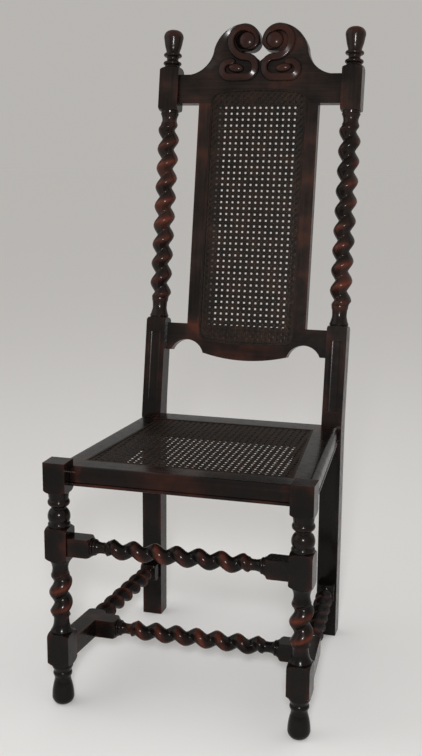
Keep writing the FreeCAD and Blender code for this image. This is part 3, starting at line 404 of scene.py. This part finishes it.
def carve_crest(mesh):
    """Turn the half-round bars of the crest into canted bands."""
    flat = back_plane.inverted()
    for vert in mesh.verts:
        across, behind, up = flat @ vert.co
        height = BOARD_FACE - behind
        if height <= TOUCHING:
            continue
        from_eyes = [
            math.hypot((abs(across) / MM - x) / half_length, (up / MM - z) / half_height)
            for x, z, half_length, half_height in LOW_EYES]
        from_middle = math.sqrt(max(0, 1 - (height / BAND_HALF) ** 2))
        slope = 1 - BAND_CANT * outwards(abs(across) / MM, up / MM)
        carved = BAND_HEIGHT * (1 - from_middle ** BAND_SQUARE) * slope
        if min(from_eyes) < 1:
            carved = min(height, EYE_FLOOR)
        vert.co = back_plane @ Vector((across, BOARD_FACE - carved, up))


print("arcs of a scroll:", len((HEAD, BELLY, FOOT, CURL)))

# %% [markdown]
# ## Eyes and rim of the crest
# The carver leaves a round eye in each turn of a scroll, and a raised rim along the edge of the arch that
# falls away to the scrolls. An eye is a ball pressed flat, half sunk in the board. The rim is a grid rolled
# up along the arcs of the arch.

# %% Eyes and rim
# Carved eyes: across, up, half their length and height, how far they stand out, and their slant
EYES = [(28.5, 779.5, 18.3, 18.3, 10.5, 0), (50.0, 723.5, 17.5, 9.5, 9.0, -8)]
# Arcs of the edge of the arch: centre across and up, radius, first and last angle, and the way inwards
ARCH = [(155.93, 768.4, 57.59, -98.92, -175.62, 1), (32.17, 746.26, 68.66, 14.98, 85.96, -1)]
# Section of the rim: share of its width inwards, and height over the board
RIM_SECTION = [(0, -0.3), (0, 0), (0.04, 2.2), (0.12, 3.2), (0.3, 2.6), (0.65, 0.9), (1, -0.3), (0, -0.3)]
RIM_WIDTH = 21.0
RIM_STEPS = 12
# Shares of the rim's length over which it widens, narrows and rises
RIM_WIDENS, RIM_NARROWS, RIM_RISES = 0.35, 0.4, 0.2


def add_eyes(mesh):
    """Round eyes, pressed flat and laid on the board."""
    for side in (-1, 1):
        for x, z, half_length, half_height, stand, slant in EYES:
            laid = back_plane @ lie(side * x, BOARD_FACE / MM, z, (side * slant, "Y"))
            bmesh.ops.create_uvsphere(
                mesh, u_segments=32, v_segments=16, radius=MM,
                matrix=laid @ Matrix.Diagonal((half_length, stand, half_height, 1)))


def add_rim(mesh):
    """A rim along the edge of the arch that falls away to the scrolls, rolled up from a grid."""
    last_row = len(RIM_SECTION) - 1
    for side in (-1, 1):
        made = bmesh.ops.create_grid(mesh, x_segments=2 * RIM_STEPS, y_segments=last_row, size=0.5)["verts"]
        for vert in made:
            along = vert.co.x + 0.5
            inwards, height = RIM_SECTION[round((vert.co.y + 0.5) * last_row)]
            number = min(1, int(2 * along))
            x, z, radius, first, last, way = ARCH[number]
            angle = math.radians(first + (2 * along - number) * (last - first))
            width = RIM_WIDTH * min(1, along / RIM_WIDENS, (1 - along) / RIM_NARROWS)
            stand = height * min(1, along / RIM_RISES, (1 - along) / RIM_RISES)
            reach = radius + way * inwards * width
            spot = Vector((side * (x + reach * math.cos(angle)), 0, z + reach * math.sin(angle)))
            vert.co = back_plane @ (spot * MM + Vector((0, BOARD_FACE - stand * MM, 0)))
        bmesh.ops.remove_doubles(mesh, verts=made, dist=TOUCHING)


print("eyes of the scrolls:", 2 * len(EYES))

# %% [markdown]
# ## Flutes of the posts
# Above the seat each post has a sunk panel with rounded sides. In the CAD it is one plain hollow. A flat
# scraper would level its floor, and the same is done here to every point that lies too deep.

# %% Flutes of the posts
FLUTE_AXIS = 191.5 * MM
FLUTE_HALF = 14 * MM
FLUTE_ENDS = (32 * MM, 176 * MM)
FLUTE_FLOOR = 3.0 * MM


def level_flute(mesh):
    """Level the floor of a post's flute."""
    flat = back_plane.inverted()
    for vert in mesh.verts:
        across, behind, up = flat @ vert.co
        inside = abs(abs(across) - FLUTE_AXIS) < FLUTE_HALF and FLUTE_ENDS[0] < up < FLUTE_ENDS[1]
        if inside and FLUTE_FLOOR < behind < 2 * FLUTE_FLOOR:
            vert.co = back_plane @ Vector((across, FLUTE_FLOOR, up))


print("flute floor:", FLUTE_FLOOR)

# %% [markdown]
# ## Dress the wooden pieces
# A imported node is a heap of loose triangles, so each would shade flat. A copy of it is merged into one skin,
# its twist, carving or flute is cut, and it is shaded smooth up to a sharp angle. It stands for the node,
# and the node itself is left alone.

# %% Smooth copies of the wooden pieces
SAME_POINT = 0.002 * MM
SHARP_EDGE = math.radians(32)
GRAIN_OF = {
    "upright": ["left_front_leg", "right_front_leg"],
    "raked": ["left_back_post", "right_back_post", "left_back_stile", "right_back_stile"],
    "crosswise": ["rear_seat_rail", "front_stretcher", "cross_stretcher"],
    "sat_on": ["front_seat_rail"],
    "gripped": ["lower_back_rail"],
    "carved": ["crest_rail"],
    "lengthwise": ["left_seat_rail", "right_seat_rail", "left_side_stretcher", "right_side_stretcher"],
}


def shape_copy(mesh, node):
    """Cut the twist, carving or flute of a merged copy."""
    if node in TWISTS:
        laid, low, high, kind = TWISTS[node]
        cut_out_twist(mesh, laid, low * MM, high * MM)
        roll_twist(mesh, laid, low * MM, high * MM, kind)
        bmesh.ops.recalc_face_normals(mesh, faces=mesh.faces)
    if node.endswith("back_post"):
        level_flute(mesh)
    if node == "crest_rail":
        carve_crest(mesh)
        add_eyes(mesh)
        add_rim(mesh)
        bmesh.ops.recalc_face_normals(mesh, faces=mesh.faces)


def smooth_copy(node):
    """A merged, smoothly shaded copy of a node."""
    mesh = bmesh.new()
    mesh.from_mesh(nodes[node].data)
    bmesh.ops.remove_doubles(mesh, verts=mesh.verts, dist=SAME_POINT)
    shape_copy(mesh, node)
    for face in mesh.faces:
        face.smooth = True
    for edge in mesh.edges:
        edge.smooth = len(edge.link_faces) == 2 and edge.calc_face_angle(0) < SHARP_EDGE
    data = bpy.data.meshes.new(f"{node}_skin")
    mesh.to_mesh(data)
    mesh.free()
    skin = bpy.data.objects.new(f"{node}_skin", data)
    bpy.context.scene.collection.objects.link(skin)
    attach(skin, "root")
    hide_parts(node)
    return skin


for grain, names in GRAIN_OF.items():
    for name in names:
        smooth_copy(name).data.materials.append(woods[grain])
print("smooth pieces:", sum(len(names) for names in GRAIN_OF.values()))

# %% [markdown]
# ## Finish of the cane
# Cane is the split bark of a palm, stained with the chair. Its skin is satin and a little fibrous, and it has
# browned in patches. Its crossings are painted dark as shade, found by short-range occlusion. The
# splines round the panels are cane too, so they get the same finish.

# %% Cane finish
CANE_DARK = (0.0065, 0.0045, 0.0034, 1)
CANE_WORN = (0.062, 0.029, 0.015, 1)
CANE_PAINTED_SHADE = (0.002, 0.0016, 0.0013, 1)
CREVICE_REACH = 3 * MM
FIBRE_SCALE = 900.0
FIBRE_DEPTH = 0.1 * MM
CANE_PATCH_SCALE = 35.0
# Values of noise and occlusion between which worn fibres, worn patches and cane out of the painted shade come
# in
WORN_FIBRES, WORN_CANE, UNSHADED_CANE = (0.45, 0.75), (0.35, 0.7), (0.35, 0.9)
# Roughness of the cane, and what its patches add
CANE_ROUGH, PATCH_ROUGH = 0.4, 0.15


def dress(material, *names):
    """Give nodes that stay as they are a finish."""
    for name in names:
        nodes[name].data.materials.clear()
        nodes[name].data.materials.append(material)


cane, start, output = new_material("stained_cane")
place = start.node("ShaderNodeTexCoord", output="Object")
fibre = start.node("ShaderNodeTexNoise", Vector=place, Scale=FIBRE_SCALE, Detail=2.0)
patches = start.node("ShaderNodeTexNoise", Vector=place, Scale=CANE_PATCH_SCALE, Detail=3.0)
weathered = mix(start, fibre.within(*WORN_FIBRES) * patches.within(*WORN_CANE), CANE_DARK, CANE_WORN)
# Painted shade: short-range occlusion darkens the crossings of the strands
crevice_shade = start.node("ShaderNodeAmbientOcclusion", {"samples": 6}, "AO", Distance=CREVICE_REACH)
colour = mix(start, crevice_shade.within(*UNSHADED_CANE), CANE_PAINTED_SHADE, weathered)
skin_bump = start.node("ShaderNodeBump", Strength=0.2, Distance=FIBRE_DEPTH, Height=fibre)
shader = start.node(
    "ShaderNodeBsdfPrincipled", Base_Color=colour, Roughness=CANE_ROUGH + patches * PATCH_ROUGH,
    Normal=skin_bump, Specular_IOR_Level=0.08, Coat_Weight=0.03, Coat_Roughness=0.2)
start.tree.links.new(shader.socket, output.inputs["Surface"])
dress(cane, "back_cane_spline", "seat_cane_spline")
print("cane finish ready")

# %% [markdown]
# ## Bare wood of the dowels
# The dowels sit inside the joints, where no stain reaches. They are pale wood with a fine fleck, and show
# only when the chair is taken apart.

# %% Bare wood
BARE_DARK = (0.30, 0.18, 0.09, 1)
BARE_LIGHT = (0.45, 0.30, 0.16, 1)
FLECK_SCALE = 300.0
bare, start, output = new_material("bare_wood")
place = start.node("ShaderNodeTexCoord", output="Object")
fleck = start.node("ShaderNodeTexNoise", Vector=place, Scale=FLECK_SCALE, Detail=3.0)
shader = start.node(
    "ShaderNodeBsdfPrincipled", Roughness=0.6, Base_Color=mix(start, fleck, BARE_DARK, BARE_LIGHT))
start.tree.links.new(shader.socket, output.inputs["Surface"])
dress(bare, "front_leg_dowels", "back_post_dowels")
print("dowel finish ready")

# %% [markdown]
# ## Strands of cane
# Six-way cane: pairs of strands run both ways, and single strands cross them on both diagonals, which
# leaves a small hole with eight sides. One strand is a narrow grid with a domed back. Strands of the pairs
# wave up and down as they pass over and under each other, and the diagonals lie straight above and below.

# %% Strands of cane
MODULE = 12.1 * MM
PAIR_CLEARANCE = 0.35 * MM
SEAT_STRAND = 3.55 * MM
BACK_STRAND = 3.9 * MM
STRAND_THICKNESS = 0.45 * MM
STRAND_DOME = 0.3 * MM
WAVE = 0.28 * MM
STEPS_PER_MODULE = 2
# A diagonal of a square is 2.83 times half its side, and a little is added for the trimming
DIAGONAL_REACH = 2.9


def strand(web, length, width, middle, turn, phase, wave=WAVE):
    """One domed strand about a middle point of the flat web, which waves unless its wave is 0."""
    steps = max(2, round(length / MODULE * STEPS_PER_MODULE)) if wave else 1
    made = bmesh.ops.create_grid(
        web, x_segments=steps, y_segments=2, size=0.5,
        matrix=Matrix.Translation(middle) @ Matrix.Rotation(turn, 4, "Z")
        @ Matrix.Diagonal((length, width, 1, 1)))
    heading = Vector((math.cos(turn), math.sin(turn), 0))
    aside = Vector((-heading.y, heading.x, 0))
    for vert in made["verts"]:
        run = (vert.co - middle).dot(heading)
        from_middle = abs((vert.co - middle).dot(aside)) / (width / 2)
        vert.co.z += wave * math.cos(math.pi * run / (MODULE / 2) + phase)
        vert.co.z += STRAND_DOME * (1 - from_middle)


def fill_web(web, half_x, half_y, width):
    """All strands of a flat web: pairs both ways, then both diagonals."""
    for half, across, angle, layer in ((half_x, half_y, math.pi / 2, 0), (half_y, half_x, 0, 1)):
        count = math.ceil(half / MODULE)
        for number in range(-count, count + 1):
            for side in (-1, 1):
                shift = number * MODULE + side * (width + PAIR_CLEARANCE) / 2
                centre = Vector((shift, 0, 0)) if layer == 0 else Vector((0, shift, 0))
                strand(web, 2 * across, width, centre, angle, math.pi * (number + layer))
    count = math.ceil((half_x + half_y) / MODULE)
    for sign in (-1, 1):
        for number in range(-count, count + 1):
            centre = Vector(((number + 0.5) * MODULE, 0, sign * STRAND_THICKNESS / 2))
            strand(web, DIAGONAL_REACH * max(half_x, half_y), width, centre, sign * math.pi / 4, 0, 0)


print("holes are", round(MODULE / MM, 1), "mm apart")

# %% [markdown]
# ## Woven panels
# A caner weaves a sheet that is too large, lays it over the opening and trims it at the spline. The web is
# drawn flat, trimmed plane by plane to the outline of the CAD sheet, given its thickness, and laid in the
# place of the sheet. The strands of the back are a little broader than those of the seat.

# %% Woven panels
RIM_FOLD = 1.0


def rim_planes(flat):
    """Planes along the rim of a flat outline, each as a point and the way outwards."""
    outline = bmesh.new()
    for point in flat:
        outline.verts.new((point.x, point.y, 0))
    bmesh.ops.remove_doubles(outline, verts=outline.verts, dist=TOUCHING)
    bmesh.ops.convex_hull(outline, input=outline.verts)
    planes = []
    for edge in outline.edges:
        if len(edge.link_faces) == 1 or edge.calc_face_angle(math.pi) > RIM_FOLD:
            first, second = (vert.co.copy() for vert in edge.verts)
            outward = Vector((second.y - first.y, first.x - second.x, 0)).normalized()
            if outward.dot(first) < 0:
                outward.negate()
            planes.append((first, outward))
    outline.free()
    return planes


def woven_panel(node, turn, width):
    """Woven cane that stands for a flat CAD sheet, drawn flat and then laid in its place."""
    low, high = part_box(node)
    laid = Matrix.Translation((low + high) / 2) @ Matrix.Rotation(turn, 4, "X")
    flat = [laid.inverted() @ vert.co for vert in nodes[node].data.vertices]
    half_x = max(abs(point.x) for point in flat)
    half_y = max(abs(point.y) for point in flat)
    web = bmesh.new()
    fill_web(web, half_x, half_y, width)
    planes = rim_planes(flat)
    for point, outward in planes:
        bmesh.ops.bisect_plane(
            web, geom=web.verts[:] + web.edges[:] + web.faces[:], plane_co=point, plane_no=outward,
            clear_outer=True)
    bmesh.ops.solidify(web, geom=web.faces[:], thickness=STRAND_THICKNESS)
    bmesh.ops.transform(web, matrix=laid, verts=web.verts)
    bmesh.ops.recalc_face_normals(web, faces=web.faces)
    data = bpy.data.meshes.new(f"{node}_weave")
    web.to_mesh(data)
    web.free()
    weave = bpy.data.objects.new(f"{node}_weave", data)
    weave.data.materials.append(cane)
    bpy.context.scene.collection.objects.link(weave)
    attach(weave, "root")
    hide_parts(node)
    print(node, "faces:", len(data.polygons), "rim edges:", len(planes))


woven_panel("seat_cane", 0, SEAT_STRAND)
woven_panel("back_cane", math.pi / 2 - BACK_RAKE, BACK_STRAND)

# %% [markdown]
# ## Floor
# The chair stands on a plain pale floor, so that its dark outline and its shadow read clearly. A sheet of
# backing paper would do the same. One flat grid is enough, so large that its edge is lost in the surround.

# %% Floor
FLOOR_SIZE = 30.0
FLOOR_SHADE = 0.86
floor_mesh = bmesh.new()
bmesh.ops.create_grid(floor_mesh, x_segments=1, y_segments=1, size=FLOOR_SIZE)
floor_data = bpy.data.meshes.new("floor")
floor_mesh.to_mesh(floor_data)
floor_mesh.free()
floor = bpy.data.objects.new("floor", floor_data)
bpy.context.scene.collection.objects.link(floor)
pale, start, output = new_material("pale_floor")
shader = start.node(
    "ShaderNodeBsdfPrincipled", Base_Color=(FLOOR_SHADE, FLOOR_SHADE, FLOOR_SHADE, 1), Roughness=0.9)
start.tree.links.new(shader.socket, output.inputs["Surface"])
floor.data.materials.append(pale)
print("floor laid")

# %% [markdown]
# ## Surround
# A pale surround lights the chair softly from all sides. Where it is seen, straight or in the polish, it is
# toned down to the shade of the floor, so that no horizon shows.

# %% Surround
SURROUND = 0.6
SURROUND_TINT = (0.93, 0.90, 0.86, 1)
bpy.context.scene.view_settings.view_transform = "Standard"
world = bpy.data.worlds.new("surround")
world.use_nodes = True
backdrop = world.node_tree.nodes["Background"]
backdrop.inputs["Color"].default_value = SURROUND_TINT
start = Finish(world.node_tree, None)
camera_ray, glossy_ray, transmission_ray = (
    start.node("ShaderNodeLightPath", output=ray)
    for ray in ("Is Camera Ray", "Is Glossy Ray", "Is Transmission Ray"))
seen = start.math("MINIMUM", camera_ray + glossy_ray + transmission_ray, 1.0)
strength = SURROUND * (1 - seen * (1 - FLOOR_SHADE))
world.node_tree.links.new(strength.socket, backdrop.inputs["Strength"])
bpy.context.scene.world = world
print("surround set")

# %% [markdown]
# ## Lamps
# The picture was lit from beside the camera. A small lamp there gives each ridge of the twists its own
# bright spot, and its light is kept to the chair so that the floor in front stays pale and not white. Two
# broad weak lamps lift the left side, and the far side from behind.


# %% Lamps
def lamp(name, place, aim, size, power, spread=180):
    """A square lamp that faces a point, and spreads its light over so many degrees."""
    data = bpy.data.lights.new(name, "AREA")
    data.size = size
    data.energy = power
    data.spread = math.radians(spread)
    thing = bpy.data.objects.new(name, data)
    thing.location = place
    thing.rotation_euler = (Vector(aim) - Vector(place)).to_track_quat("-Z", "Y").to_euler()
    bpy.context.scene.collection.objects.link(thing)


lamp("key", place=(0.55, -2.2, 1.25), aim=(0, 0, 0.65), size=0.26, power=8.5, spread=80)
lamp("fill", place=(-2.3, -0.8, 1.9), aim=(0, 0, 0.6), size=2.6, power=14)
lamp("rim", place=(1.9, 1.3, 1.9), aim=(0, 0, 0.7), size=2.4, power=6)
print("lamps set")

# %% [markdown]
# ## End

# %% Finish
print("scene ready")
